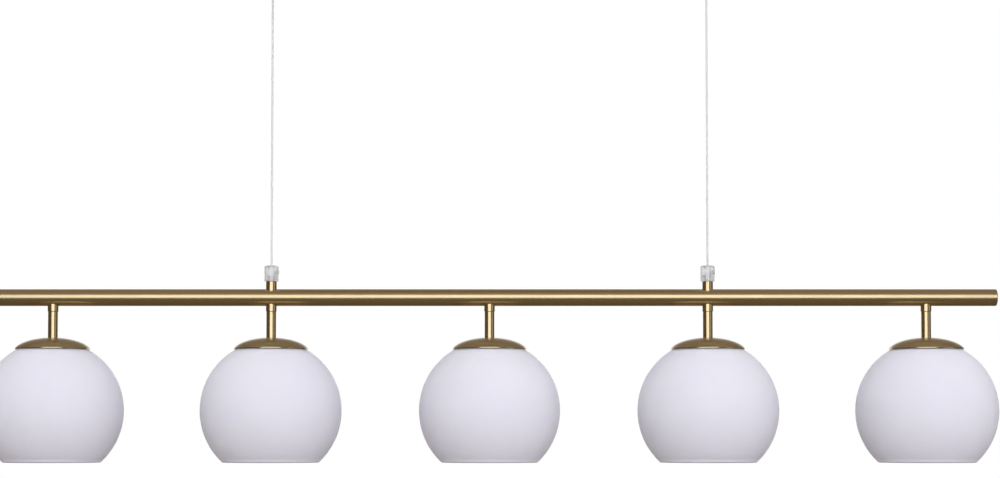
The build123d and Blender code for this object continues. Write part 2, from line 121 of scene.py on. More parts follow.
camera_data = bpy.data.cameras.new("camera")
camera_data.sensor_width = SENSOR_WIDTH
camera_data.lens = SENSOR_WIDTH * CAMERA_DISTANCE / picture_width
camera_data.shift_y = LENS_SHIFT
camera = bpy.data.objects.new("camera", camera_data)
camera.location = ((IMAGE_WIDTH / 2 - CENTRE_PIXEL) * MM_PER_PIXEL * MM, -CAMERA_DISTANCE, eye_height)
camera.rotation_euler = (math.radians(90) + tilt, 0, 0)
bpy.context.scene.collection.objects.link(camera)
bpy.context.scene.camera = camera
print("lens", round(camera_data.lens, 1), "mm, tilt", round(math.degrees(tilt), 2), "degrees")

# %% [markdown]
# ## Node helpers
# A finish is a small tree of nodes. These helpers keep each tree readable: one adds a node with its
# values, one mixes two colours, one joins sockets in pairs, one starts a group, one places a group,
# and one starts a material with its Principled shader.

# %% Node helpers
VECTOR, FLOAT = "NodeSocketVector", "NodeSocketFloat"


def add_node(tree, kind, values=None, **settings):
    """Node with its settings made first, because they decide which sockets it shows."""
    node = tree.nodes.new(kind)
    for name, value in settings.items():
        setattr(node, name, value)
    for name, value in (values or {}).items():
        node.inputs[name].default_value = value
    return node


def mix_colours(tree, **colours):
    return add_node(tree, "ShaderNodeMix", colours, data_type="RGBA")


def join(tree, *pairs):
    """Links each pair of an output and the input that it feeds."""
    for source, target in pairs:
        tree.links.new(source, target)


def new_group(name, inputs, outputs):
    """Empty node group with its named sockets, and its two end nodes."""
    tree = bpy.data.node_groups.new(name, "ShaderNodeTree")
    for socket_name, kind, value in inputs:
        socket = tree.interface.new_socket(name=socket_name, in_out="INPUT", socket_type=kind)
        if value is not None:
            socket.default_value = value
    for socket_name, kind in outputs:
        tree.interface.new_socket(name=socket_name, in_out="OUTPUT", socket_type=kind)
    return tree, tree.nodes.new("NodeGroupInput"), tree.nodes.new("NodeGroupOutput")


def use_group(tree, group, **values):
    node = tree.nodes.new("ShaderNodeGroup")
    node.node_tree = group
    for name, value in values.items():
        node.inputs[name].default_value = value
    return node


def new_finish(name, **sockets):
    """Material with constant values set on the shader's own sockets."""
    material = bpy.data.materials.new(name)
    material.use_nodes = True
    shader = material.node_tree.nodes["Principled BSDF"]
    for socket_name, value in sockets.items():
        shader.inputs[socket_name.replace("_", " ")].default_value = value
    return material, material.node_tree, shader


print("node helpers ready")

# %% [markdown]
# Three effects are shared. Tool lines are the fine scratches that a brush or a lathe leaves. Soft
# blotches stand for handling marks on metal and for clouds in glass. The lamp axis group gives the
# distance from the nearest lamp's own axis, so that one finish can draw rings on all five caps. Each
# effect is a node group: it is built once, and a finish that needs it places it with its own values.

# %% Shared effect: tool lines
tool_lines, group_in, group_out = new_group(
    "tool lines", [("Vector", VECTOR, None)], [("Lines", FLOAT)])
fine = add_node(tool_lines, "ShaderNodeTexNoise", {"Scale": 1.0, "Detail": 4.0, "Roughness": 0.65})
join(tool_lines,
     (group_in.outputs["Vector"], fine.inputs["Vector"]),
     (fine.outputs["Fac"], group_out.inputs["Lines"]))
print(tool_lines.name, "group,", len(tool_lines.nodes), "nodes")

# %% Shared effect: soft blotches
soft_blotches, group_in, group_out = new_group(
    "soft blotches", [("Vector", VECTOR, None), ("Scale", FLOAT, 20.0)], [("Blotches", FLOAT)])
cloud = add_node(
    soft_blotches, "ShaderNodeTexNoise", {"Detail": 3.0, "Roughness": 0.55, "Distortion": 0.4})
spread = add_node(soft_blotches, "ShaderNodeMapRange", {"From Min": 0.3, "From Max": 0.7})
join(soft_blotches,
     (group_in.outputs["Vector"], cloud.inputs["Vector"]),
     (group_in.outputs["Scale"], cloud.inputs["Scale"]),
     (cloud.outputs["Fac"], spread.inputs["Value"]),
     (spread.outputs["Result"], group_out.inputs["Blotches"]))
print(soft_blotches.name, "group,", len(soft_blotches.nodes), "nodes")

# %% Shared effect: distance from the lamp axis
lamp_axis, group_in, group_out = new_group(
    "lamp axis", [("Pitch", FLOAT, lamp_pitch)], [("Vector", VECTOR)])
place = add_node(lamp_axis, "ShaderNodeTexCoord")
split = add_node(lamp_axis, "ShaderNodeSeparateXYZ")
step = add_node(lamp_axis, "ShaderNodeMath", operation="DIVIDE")
nearest = add_node(lamp_axis, "ShaderNodeMath", operation="ROUND")
axis_x = add_node(lamp_axis, "ShaderNodeMath", operation="MULTIPLY")
offset = add_node(lamp_axis, "ShaderNodeMath", operation="SUBTRACT")
flat = add_node(lamp_axis, "ShaderNodeCombineXYZ")
radius = add_node(lamp_axis, "ShaderNodeVectorMath", operation="LENGTH")
joined = add_node(lamp_axis, "ShaderNodeCombineXYZ")
join(lamp_axis,
     (place.outputs["Object"], split.inputs[0]),
     (split.outputs["X"], step.inputs[0]),
     (group_in.outputs["Pitch"], step.inputs[1]),
     (step.outputs[0], nearest.inputs[0]),
     (nearest.outputs[0], axis_x.inputs[0]),
     (group_in.outputs["Pitch"], axis_x.inputs[1]),
     (split.outputs["X"], offset.inputs[0]),
     (axis_x.outputs[0], offset.inputs[1]),
     (offset.outputs[0], flat.inputs["X"]),
     (split.outputs["Y"], flat.inputs["Y"]),
     (flat.outputs[0], radius.inputs[0]),
     (radius.outputs["Value"], joined.inputs["X"]),
     (split.outputs["Z"], joined.inputs["Z"]),
     (joined.outputs[0], group_out.inputs["Vector"]))
print(lamp_axis.name, "group,", len(lamp_axis.nodes), "nodes")

# %% [markdown]
# ## Satin brass
# The brass is brushed and then lacquered. Brushing leaves fine lines that widen the reflections, and
# the lacquer adds a thin clear gloss. The lines run along the bar, round the turned pieces and in
# rings on the spun caps, so each of them gets the same finish with another stretch of the tool lines.
# An anisotropic shader could draw out the reflections too, but lines in a bump also show from close
# by. The slim turned pieces are the smoothest, the caps are duller, and the canopy is the dullest.

# %% Satin brass
BRASS_LIGHT = (0.54, 0.405, 0.178, 1)
BRASS_DEEP = (0.49, 0.365, 0.150, 1)
LINES_SHARE = 0.5
WORN_ROUGHER = 1.3


def satin_brass(name, stretch, roughness, coat_roughness, rings=False):
    """Lacquered brass whose tool lines are drawn out by the stretch, or in rings round each lamp."""
    material, tree, shader = new_finish(
        name, Metallic=1.0, Coat_Weight=1.0, Coat_Roughness=coat_roughness, Coat_IOR=2.4)
    start = use_group(tree, lamp_axis, Pitch=lamp_pitch) if rings else add_node(tree, "ShaderNodeTexCoord")
    vector = start.outputs["Vector" if rings else "Object"]
    mapping = add_node(tree, "ShaderNodeMapping", {"Scale": stretch})
    lines = use_group(tree, tool_lines)
    marks = use_group(tree, soft_blotches, Scale=14.0)
    tint = mix_colours(tree, A=BRASS_LIGHT, B=BRASS_DEEP)
    worn = add_node(tree, "ShaderNodeMath", {1: LINES_SHARE}, operation="MULTIPLY_ADD")
    rough = add_node(tree, "ShaderNodeMapRange", {"To Min": roughness, "To Max": roughness * WORN_ROUGHER})
    bump = add_node(tree, "ShaderNodeBump", {"Strength": 0.03, "Distance": 0.2 * MM})
    join(tree,
         (vector, mapping.inputs["Vector"]),
         (mapping.outputs["Vector"], lines.inputs["Vector"]),
         (vector, marks.inputs["Vector"]),
         (marks.outputs["Blotches"], tint.inputs["Factor"]),
         (tint.outputs["Result"], shader.inputs["Base Color"]),
         (lines.outputs["Lines"], worn.inputs[0]),
         (marks.outputs["Blotches"], worn.inputs[2]),
         (worn.outputs[0], rough.inputs["Value"]),
         (rough.outputs["Result"], shader.inputs["Roughness"]),
         (lines.outputs["Lines"], bump.inputs["Height"]),
         (bump.outputs["Normal"], shader.inputs["Normal"]))
    print(name, "with roughness", roughness)
    return material


# %% Brass finishes
LINE_FINE, LINE_LONG = 3000.0, 8.0
ALONG_X = (LINE_LONG, LINE_FINE, LINE_FINE)
ACROSS_X = (LINE_FINE, LINE_LONG, LINE_LONG)
ACROSS_Z = (LINE_LONG, LINE_LONG, LINE_FINE)
brass_along_bar = satin_brass("brass brushed along the bar", ALONG_X, roughness=0.26, coat_roughness=0.17)
brass_canopy = satin_brass("brass brushed along the canopy", ALONG_X, roughness=0.42, coat_roughness=0.35)
brass_turned = satin_brass("brass turned", ACROSS_Z, roughness=0.17, coat_roughness=0.08)
brass_faced = satin_brass("brass plug faced", ACROSS_X, roughness=0.24, coat_roughness=0.13)
brass_spun = satin_brass("brass spun", ACROSS_X, roughness=0.34, coat_roughness=0.28, rings=True)

# %% [markdown]
# ## Opal glass
# Opal glass is milky all through and etched outside, so it has no sharp reflection. Transmission would
# show what is inside, so the shader scatters light under the surface instead. Blue light goes in less
# far than the rest, which leaves the outside a faintly violet white, and very soft clouds keep it from
# being one flat colour. Round the mouth the flame has polished a band, where the light stays at the
# surface; that band is also painted paler, a painted highlight of the lit rim. The band rises over its
# first quarter, stays level over two and falls over the last, which a clamped ping-pong ramp gives.

# %% Opal glass
OPAL_CLEAR = (0.905, 0.89, 0.98, 1)
OPAL_DENSE = (0.875, 0.86, 0.95, 1)
# The paler rim colour is a painted highlight of the lit rim of the mouth.
OPAL_RIM_HIGHLIGHT = (0.97, 0.95, 0.985, 1)
LIGHT_REACH = 8 * MM
RIM_FOOT = 0.5 * MM
RIM_TOP = 3.9 * MM
RIM_QUARTERS = 4.0

mouth_height = low("shade_1").z
opal_glass, tree, shader = new_finish(
    "opal glass", IOR=1.45, Specular_IOR_Level=0.3, Subsurface_Radius=(1, 1, 0.85),
    Subsurface_Scale=LIGHT_REACH)
place = add_node(tree, "ShaderNodeTexCoord")
clouds = use_group(tree, soft_blotches, Scale=9.0)
seeds = use_group(tree, soft_blotches, Scale=260.0)
tint = mix_colours(tree, A=OPAL_CLEAR, B=OPAL_DENSE)
split = add_node(tree, "ShaderNodeSeparateXYZ")
up_the_rim = add_node(tree, "ShaderNodeMapRange", {
    "From Min": mouth_height + RIM_FOOT, "From Max": mouth_height + RIM_TOP, "To Max": RIM_QUARTERS})
rim = add_node(tree, "ShaderNodeMath", {1: RIM_QUARTERS / 2}, operation="PINGPONG", use_clamp=True)
# The mouth band is mixed to the paler rim colour, a painted highlight; the same band also turns the
# scattering off, as polish does.
polished_and_highlit = mix_colours(tree, B=OPAL_RIM_HIGHLIGHT)
milky = add_node(tree, "ShaderNodeMath", {0: 1.0}, operation="SUBTRACT")
rough = add_node(tree, "ShaderNodeMapRange", {"To Min": 0.42, "To Max": 0.55})
bump = add_node(tree, "ShaderNodeBump", {"Strength": 0.02, "Distance": 0.4 * MM})
join(tree,
     (place.outputs["Object"], clouds.inputs["Vector"]),
     (place.outputs["Object"], seeds.inputs["Vector"]),
     (clouds.outputs["Blotches"], tint.inputs["Factor"]),
     (tint.outputs["Result"], polished_and_highlit.inputs["A"]),
     (place.outputs["Object"], split.inputs[0]),
     (split.outputs["Z"], up_the_rim.inputs["Value"]),
     (up_the_rim.outputs["Result"], rim.inputs[0]),
     (rim.outputs[0], polished_and_highlit.inputs["Factor"]),
     (rim.outputs[0], milky.inputs[1]),
     (milky.outputs[0], shader.inputs["Subsurface Weight"]),
     (polished_and_highlit.outputs["Result"], shader.inputs["Base Color"]),
     (seeds.outputs["Blotches"], rough.inputs["Value"]),
     (rough.outputs["Result"], shader.inputs["Roughness"]),
     (seeds.outputs["Blotches"], bump.inputs["Height"]),
     (bump.outputs["Normal"], shader.inputs["Normal"]))
print(opal_glass.name, "with a polished band up to", round(mouth_height + RIM_TOP, 4))

# %% [markdown]
# ## Clear plastic
# The cord grips and the cables are clear plastic that has gone a little grey. With full transmission
# it would look like glass, so only a share of the light goes through and the rest is scattered. A haze
# in soft blotches changes its colour and its roughness together. The moulded grips also have a glossy
# skin, which is a coat, while the drawn cables have none.

# %% Clear plastic
HAZE_ROUGHER = 1.6


def clear_plastic(name, light, deep, roughness, transmission, blotch_scale, gloss=0.0):
    """Plastic that lets a share of the light through, hazy in blotches."""
    material, tree, shader = new_finish(
        name, IOR=1.49, Transmission_Weight=transmission, Coat_Weight=gloss, Coat_Roughness=0.06,
        Coat_IOR=1.9)
    place = add_node(tree, "ShaderNodeTexCoord")
    haze = use_group(tree, soft_blotches, Scale=blotch_scale)
    tint = mix_colours(tree, A=light, B=deep)
    rough = add_node(tree, "ShaderNodeMapRange", {"To Min": roughness, "To Max": roughness * HAZE_ROUGHER})
    join(tree,
         (place.outputs["Object"], haze.inputs["Vector"]),
         (haze.outputs["Blotches"], tint.inputs["Factor"]),
         (tint.outputs["Result"], shader.inputs["Base Color"]),
         (haze.outputs["Blotches"], rough.inputs["Value"]),
         (rough.outputs["Result"], shader.inputs["Roughness"]))
    print(name, "with roughness", roughness)
    return material


grip_plastic = clear_plastic(
    "clear grip plastic", (0.96, 0.963, 0.966, 1), (0.93, 0.933, 0.936, 1), roughness=0.28,
    transmission=0.75, blotch_scale=90.0, gloss=1.0)
cable_plastic = clear_plastic(
    "clear cable jacket", (0.90, 0.905, 0.91, 1), (0.84, 0.845, 0.85, 1), roughness=0.3,
    transmission=0.5, blotch_scale=12.0)

# %% [markdown]
# ## White plastic, steel and contact brass
# The lampholders, rings and the terminal block are white moulded plastic with a fine grain. The hidden
# nipples and nuts and the ceiling strip are zinc plated steel with its cloudy spangle, the spigots are
# steel painted darker, a painted shade that makes them show as dark bars through the clear grips, and
# the contacts are bright brass. Blotches and grain make them all, at other scales.

# %% White plastic, steel and contact brass
def grained(name, light, deep, roughness, metallic=0.0, blotch_scale=60.0, grain_scale=1800.0):
    """Plastic or metal with soft blotches of colour and a fine raised grain."""
    material, tree, shader = new_finish(name, Metallic=metallic)
    place = add_node(tree, "ShaderNodeTexCoord")
    blotch = use_group(tree, soft_blotches, Scale=blotch_scale)
    grain = use_group(tree, soft_blotches, Scale=grain_scale)
    tint = mix_colours(tree, A=light, B=deep)
    rough = add_node(tree, "ShaderNodeMapRange", {"To Min": roughness, "To Max": roughness * WORN_ROUGHER})
    bump = add_node(tree, "ShaderNodeBump", {"Strength": 0.05, "Distance": 0.2 * MM})
    join(tree,
         (place.outputs["Object"], blotch.inputs["Vector"]),
         (place.outputs["Object"], grain.inputs["Vector"]),
         (blotch.outputs["Blotches"], tint.inputs["Factor"]),
         (tint.outputs["Result"], shader.inputs["Base Color"]),
         (blotch.outputs["Blotches"], rough.inputs["Value"]),
         (rough.outputs["Result"], shader.inputs["Roughness"]),
         (grain.outputs["Blotches"], bump.inputs["Height"]),
         (bump.outputs["Normal"], shader.inputs["Normal"]))
    print(name, "with roughness", roughness)
    return material


white_plastic = grained(
    "white moulded plastic", (0.80, 0.80, 0.77, 1), (0.76, 0.755, 0.72, 1), roughness=0.42)
zinc_steel = grained(
    "zinc plated steel", (0.62, 0.63, 0.64, 1), (0.50, 0.51, 0.53, 1), roughness=0.3, metallic=1.0,
    blotch_scale=220.0)
# The spigot steel is painted dark, a painted shade that shows as dark bars through the clear grip.
shaded_spigot_steel = grained(
    "spigot steel painted dark", (0.20, 0.21, 0.22, 1), (0.14, 0.15, 0.16, 1), roughness=0.35, metallic=1.0,
    blotch_scale=220.0)
contact_brass = grained(
    "bright contact brass", (0.72, 0.56, 0.27, 1), (0.64, 0.48, 0.22, 1), roughness=0.2, metallic=1.0,
    blotch_scale=90.0)

# %% [markdown]
# ## Finishes on the solids
# A solid whose shape is right keeps it and only gets its finish. The other solids are made again in
# the cells below, and the new pieces bring a finish of their own.

# %% Finish the solids
def give_finish(material, *names):
    for name in names:
        data = nodes[name].data
        data.materials.clear()
        data.materials.append(material)
    print(material.name, "on", len(names), "solids")


def each_lamp(piece):
    return [f"{piece}_{number}" for number in LAMPS]


def each_side(piece):
    return [f"{piece}_{side}" for side in SIDES]


give_finish(brass_along_bar, "bar_tube")
give_finish(brass_canopy, "canopy_cover")
give_finish(brass_turned, *each_lamp("collar"))
give_finish(brass_faced, *each_side("end_plug"), "canopy_screws")
give_finish(grip_plastic, *each_side("bar_grip"), *each_side("ceiling_grip"))
give_finish(grip_plastic, "bar_grip_screws", "ceiling_grip_screws")
give_finish(zinc_steel, "ceiling_bracket", "ceiling_nipples", "ceiling_nuts")
give_finish(zinc_steel, "stem_nipples", "holder_nipples")
give_finish(white_plastic, *each_lamp("shade_ring"), "terminal_block")
give_finish(contact_brass, "centre_contacts")

# %% [markdown]
# ## From a bmesh to a piece
# The new pieces are all shaped as a bmesh. Each of them is then moved to its place inside its mesh, so
# that its object stays at the origin as the solids do. It gets its finish and smooth faces that stop
# at sharp edges, and rides on the body that carries it.

# %% New pieces
SHARP_ANGLE = math.radians(35)


def new_piece(bm, name, material, body, place=(0, 0, 0)):
    """Piece from a finished bmesh, smooth but for its sharp edges, riding on its body."""
    bmesh.ops.translate(bm, verts=bm.verts, vec=place)
    mesh = bpy.data.meshes.new(name)
    bm.to_mesh(mesh)
    bm.free()
    mesh.materials.append(material)
    mesh.shade_smooth()
    mesh.set_sharp_from_angle(angle=SHARP_ANGLE)
    piece = bpy.data.objects.new(name, mesh)
    bpy.context.scene.collection.objects.link(piece)
    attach(piece, body)
    print(name, len(mesh.polygons), "faces")
    return piece


print("edges are sharp from", round(math.degrees(SHARP_ANGLE)), "degrees on")

# %% [markdown]
# ## Cables
# Each cable is a fixed length of clear wire that the lamp's weight keeps straight. It comes out of the
# grip on the bar and ends in the bell mouth of the ceiling grip. A plain cylinder would look the same
# here, but a tube along a spline keeps the route as a few points that can be changed by hand.

# %% Shape of a cable
CABLE_SIDES = 20
SPLINE_ORDER = 3


def spline_points(route):
    """Points along the NURBS spline that has the route's points as its control points."""
    curve = bpy.data.curves.new("cable route", "CURVE")
    curve.dimensions = "3D"
    spline = curve.splines.new("NURBS")
    spline.points.add(len(route) - 1)
    for point, position in zip(spline.points, route):
        point.co = (*position, 1)
    spline.order_u = SPLINE_ORDER
    spline.use_endpoint_u = True
    carrier = bpy.data.objects.new("cable route", curve)
    line = bpy.data.meshes.new_from_object(carrier)
    points = [vertex.co.copy() for vertex in line.vertices]
    bpy.data.objects.remove(carrier)
    bpy.data.curves.remove(curve)
    bpy.data.meshes.remove(line)
    return points


def tube_along(path):
    """Closed tube as thick as the cable, grown from a disc at the first point of the path."""
    bm = bmesh.new()
    bmesh.ops.create_circle(bm, cap_ends=True, segments=CABLE_SIDES, radius=CABLE_DIAMETER / 2)
    bmesh.ops.translate(bm, verts=bm.verts, vec=path[0])
    face = bm.faces[:]
    for here, there in zip(path, path[1:]):
        grown = bmesh.ops.extrude_discrete_faces(bm, faces=face)
        face = grown["faces"]
        bmesh.ops.translate(bm, verts=face[0].verts[:], vec=there - here)
    bmesh.ops.edgeloop_fill(bm, edges=[edge for edge in bm.edges if edge.is_boundary])
    bmesh.ops.recalc_face_normals(bm, faces=bm.faces)
    return bm


print("a cable has", CABLE_SIDES, "sides")

for side in SIDES:
    node = f"cable_{side}"
    x, foot = middle(node).x, low(node).z
    grip_mouth = high(f"bar_grip_{side}").z
    half_way = (grip_mouth + swing_height) / 2
    path = spline_points([(x, 0, foot), (x, 0, grip_mouth), (x, 0, half_way), (x, 0, swing_height)])
    cable = new_piece(tube_along(path), f"{node}_jacket", cable_plastic, "cables")
    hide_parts(node)
    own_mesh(cable)

# %% [markdown]
# ## Turning and cutting
# Globes, caps, stubs, stems and holders are all round, as things made on a lathe or blown into a
# mould are. A spin turns a section once about Z, a plane cuts away what isn't wanted, and a bevel
# rounds the sharp edges.

# %% Turning and cutting
SAME_PLACE = 1e-7


def everything(bm):
    return bm.verts[:] + bm.edges[:] + bm.faces[:]


def cut_away(bm, place, direction):
    """Removes what lies beyond the place, on the side that the direction points to."""
    bmesh.ops.bisect_plane(bm, geom=everything(bm), plane_co=place, plane_no=direction, clear_outer=True)


def spin_round(bm, steps):
    """Turns a section in the XZ plane once about Z into a closed solid."""
    bmesh.ops.spin(bm, geom=everything(bm), cent=(0, 0, 0), axis=(0, 0, 1), angle=math.tau, steps=steps,
                   use_merge=True)
    bmesh.ops.remove_doubles(bm, verts=bm.verts, dist=SAME_PLACE)
    bmesh.ops.delete(bm, geom=[edge for edge in bm.edges if edge.is_wire], context="EDGES")
    bmesh.ops.recalc_face_normals(bm, faces=bm.faces)


def round_edges(bm, width, angle, segments=3):
    """Bevels every edge that is sharper than the angle in degrees."""
    corners = [edge for edge in bm.edges if edge.calc_face_angle(0) > math.radians(angle)]
    bmesh.ops.bevel(bm, geom=corners, offset=width, offset_type="OFFSET", segments=segments, profile=0.5,
                    affect="EDGES", material=-1)


print("points nearer than", SAME_PLACE, "m are one point")

# %% [markdown]
# ## Globes
# Each shade is a blown sphere with a small hole for the lampholder at the top and a wide cut at the
# bottom. Two circles, one inside the other, are the section of its wall. Planes cut both at the hole
# and at the mouth, short edges close the ends, and a spin turns the section into glass of an even
# thickness with a flat ground rim. A thin sphere with a thickness added would be quicker, but its rim
# would be aslant. A bevel rounds the rim as the polishing flame does. The globes stay out of the
# reflections, because the white glass would grey the underside of the bar.

# %% Globes
GLASS_WALL = 3.0 * MM
GLASS_HOLE_RADIUS = 15.0 * MM
MOUTH_DEPTH = 55.0 * MM
MOUTH_ROUND = 0.8 * MM
GLOBE_SEGMENTS = 192


def opal_globe(radius):
    """Globe with its centre at the origin."""
    bm = bmesh.new()
    for skin in (radius, radius - GLASS_WALL):
        bmesh.ops.create_circle(bm, segments=GLOBE_SEGMENTS, radius=skin)
    bmesh.ops.rotate(bm, verts=bm.verts, matrix=Matrix.Rotation(math.radians(90), 3, "X"))
    cut_away(bm, (0, 0, -MOUTH_DEPTH), (0, 0, -1))
    cut_away(bm, (GLASS_HOLE_RADIUS, 0, 0), (-1, 0, 0))
    ends = sorted((vert for vert in bm.verts if len(vert.link_edges) == 1), key=lambda vert: vert.co.z)
    bm.edges.new(ends[:2])
    bm.edges.new(ends[2:])
    spin_round(bm, GLOBE_SEGMENTS)
    round_edges(bm, MOUTH_ROUND, angle=30)
    return bm


for number in LAMPS:
    node = f"shade_{number}"
    centre = (lamp_x[number], 0, low(node).z + MOUTH_DEPTH)
    bm = opal_globe(half_width(node))
    globe = new_piece(bm, f"globe_{number}", opal_glass, "bar", centre)
    globe.visible_glossy = False
    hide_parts(node)

# %% [markdown]
# ## Spun caps
# A cap is a brass disc pressed over a wooden form on a lathe: a shallow dome with a short upright lip.
# A sphere is flattened to the dome's curve, cut at the lip, and the cut edge is drawn down. An outline
# could be spun as well, but the sphere brings the curve with it. The sheet then gets its thickness and
# eased edges.

# %% Spun caps
CAP_LIP = 1.2 * MM
CAP_FLARE = 1.6 * MM
CAP_SHEET = 1.0 * MM
CAP_EDGE = 0.15 * MM
CAP_HOLE_RADIUS = 4.1 * MM
CAP_SEGMENTS, CAP_RINGS = 128, 96


def dome_curve(radius, height):
    """Half width and rise of the ellipse that the dome follows."""
    curve_radius = radius + CAP_FLARE
    return curve_radius, (height - CAP_LIP) / (1 - math.sqrt(1 - (radius / curve_radius) ** 2))


def dome_drop(curve_radius, rise, place):
    """How far the dome lies below its top at this distance from the axis."""
    return rise * (1 - math.sqrt(1 - (place / curve_radius) ** 2))


def spun_cap(radius, height):
    """Cap with the top of its dome at height zero."""
    curve_radius, rise = dome_curve(radius, height)
    bm = bmesh.new()
    bmesh.ops.create_uvsphere(bm, u_segments=CAP_SEGMENTS, v_segments=CAP_RINGS, radius=1)
    bmesh.ops.scale(bm, verts=bm.verts, vec=(curve_radius, curve_radius, rise))
    bmesh.ops.translate(bm, verts=bm.verts, vec=(0, 0, -rise))
    cut_away(bm, (0, 0, CAP_LIP - height), (0, 0, -1))
    lip = bmesh.ops.extrude_edge_only(bm, edges=[edge for edge in bm.edges if edge.is_boundary])
    drawn = [vert for vert in lip["geom"] if isinstance(vert, bmesh.types.BMVert)]
    bmesh.ops.translate(bm, verts=drawn, vec=(0, 0, -CAP_LIP))
    cut_away(bm, (0, 0, -dome_drop(curve_radius, rise, CAP_HOLE_RADIUS)), (0, 0, 1))
    bmesh.ops.recalc_face_normals(bm, faces=bm.faces)
    bmesh.ops.solidify(bm, geom=bm.faces[:], thickness=CAP_SHEET)
    round_edges(bm, CAP_EDGE, angle=25, segments=2)
    return bm


for number in LAMPS:
    node = f"cap_{number}"
    bm = spun_cap(half_width(node), full_height(node))
    top = (lamp_x[number], 0, high(node).z)
    cap = new_piece(bm, f"spun_cap_{number}", brass_spun, "bar", top)
    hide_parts(node)

# %% [markdown]
# The lip of each cap has been buffed bright. A second material on its faces could show that, but the
# finish can also ask how high each point lies and turn smooth below the dome. All five caps hang at
# one height, so one comparison does for them all.

# %% Buffed lips
LIP_ROUGHNESS = 0.1


def buff_below(material, height, roughness):
    """Makes a finish smooth below this height."""
    tree = material.node_tree
    dull = tree.nodes["Principled BSDF"].inputs["Roughness"]
    place = add_node(tree, "ShaderNodeTexCoord")
    split = add_node(tree, "ShaderNodeSeparateXYZ")
    below = add_node(tree, "ShaderNodeMath", {1: height}, operation="LESS_THAN")
    buffed = add_node(tree, "ShaderNodeMix", {"B": roughness})
    join(tree,
         (place.outputs["Object"], split.inputs[0]),
         (split.outputs["Z"], below.inputs[0]),
         (below.outputs[0], buffed.inputs["Factor"]),
         (dull.links[0].from_socket, buffed.inputs["A"]),
         (buffed.outputs["Result"], dull))


lip_height = low("cap_1").z + CAP_LIP
buff_below(brass_spun, lip_height, LIP_ROUGHNESS)
print("caps buffed below", round(lip_height, 4))

# %% [markdown]
# ## Turned profiles and threads
# A stub, a stem or a holder is an outline turned round its axis. A thread is one tooth swept along a
# helix: spin moves the tooth up a little at every step, and neighbouring turns meet edge to edge. It
# starts too low and ends too high, and planes cut both ends flat. A bump could draw a thread as well,
# but this one also shows in the outline.

# %% Turned profiles and threads
TURNED_STEPS = 72
THREAD_STEPS = 36
SPARE_TURNS = 2


def turned(profile):
    """Closed solid from a closed outline of (radius, height) points turned about Z."""
    bm = bmesh.new()
    corners = [bm.verts.new((radius, 0, height)) for radius, height in profile]
    for pair in zip(corners, corners[1:] + corners[:1]):
        bm.edges.new(pair)
    spin_round(bm, TURNED_STEPS)
    return bm


def add_thread(bm, root, crest, pitch, start, end, wall, waist=()):
    """Adds a threaded sleeve between two heights, one tooth swept along a helix."""
    tooth = bmesh.new()
    outline = [(root, 0.0), *waist, (crest, 0.5), (root, 1.0)]
    corners = [tooth.verts.new((radius, 0, start + (share - 1) * pitch)) for radius, share in outline]
    edges = [tooth.edges.new(pair) for pair in zip(corners, corners[1:])]
    turns = math.ceil((end - start) / pitch) + SPARE_TURNS
    bmesh.ops.spin(tooth, geom=corners + edges, cent=(0, 0, 0), axis=(0, 0, 1), angle=math.tau * turns,
                   steps=THREAD_STEPS * turns, dvec=(0, 0, pitch / THREAD_STEPS))
    bmesh.ops.remove_doubles(tooth, verts=tooth.verts, dist=SAME_PLACE)
    cut_away(tooth, (0, 0, end), (0, 0, 1))
    cut_away(tooth, (0, 0, start), (0, 0, -1))
    bmesh.ops.recalc_face_normals(tooth, faces=tooth.faces)
    if sum(face.normal.dot(Vector((*face.calc_center_median().xy, 0))) for face in tooth.faces) < 0:
        bmesh.ops.reverse_faces(tooth, faces=tooth.faces)
    bmesh.ops.solidify(tooth, geom=tooth.faces[:], thickness=wall)
    loose = bpy.data.meshes.new("thread")
    tooth.to_mesh(loose)
    tooth.free()
    bm.from_mesh(loose)
    bpy.data.meshes.remove(loose)


print("a turned piece has", TURNED_STEPS, "steps, a thread", THREAD_STEPS, "to the turn")

# %% [markdown]
# ## Hanger stubs
# The clear grips screw on to plated steel spigots, painted dark as a painted shade, which show through
# the plastic. The brass stub under each spigot sits on the bar. It is turned with a flat seat first, and
# the points of that seat are then laid on the round of the bar, which leaves more even faces than a
# Boolean cut.

# %% Hanger stubs
THREAD_PITCH = 1.0 * MM
THREAD_CREST = 4.0 * MM
THREAD_ROOT = 3.45 * MM
THREAD_WALL = 0.3 * MM
STUB_RADIUS = 5.75 * MM
STUB_EDGE = 0.35 * MM
FLAT_SEAT_DEPTH = 3.0 * MM
CABLE_HOLE_RADIUS = 1.4 * MM
SPIGOT_LENGTH = 7.0 * MM

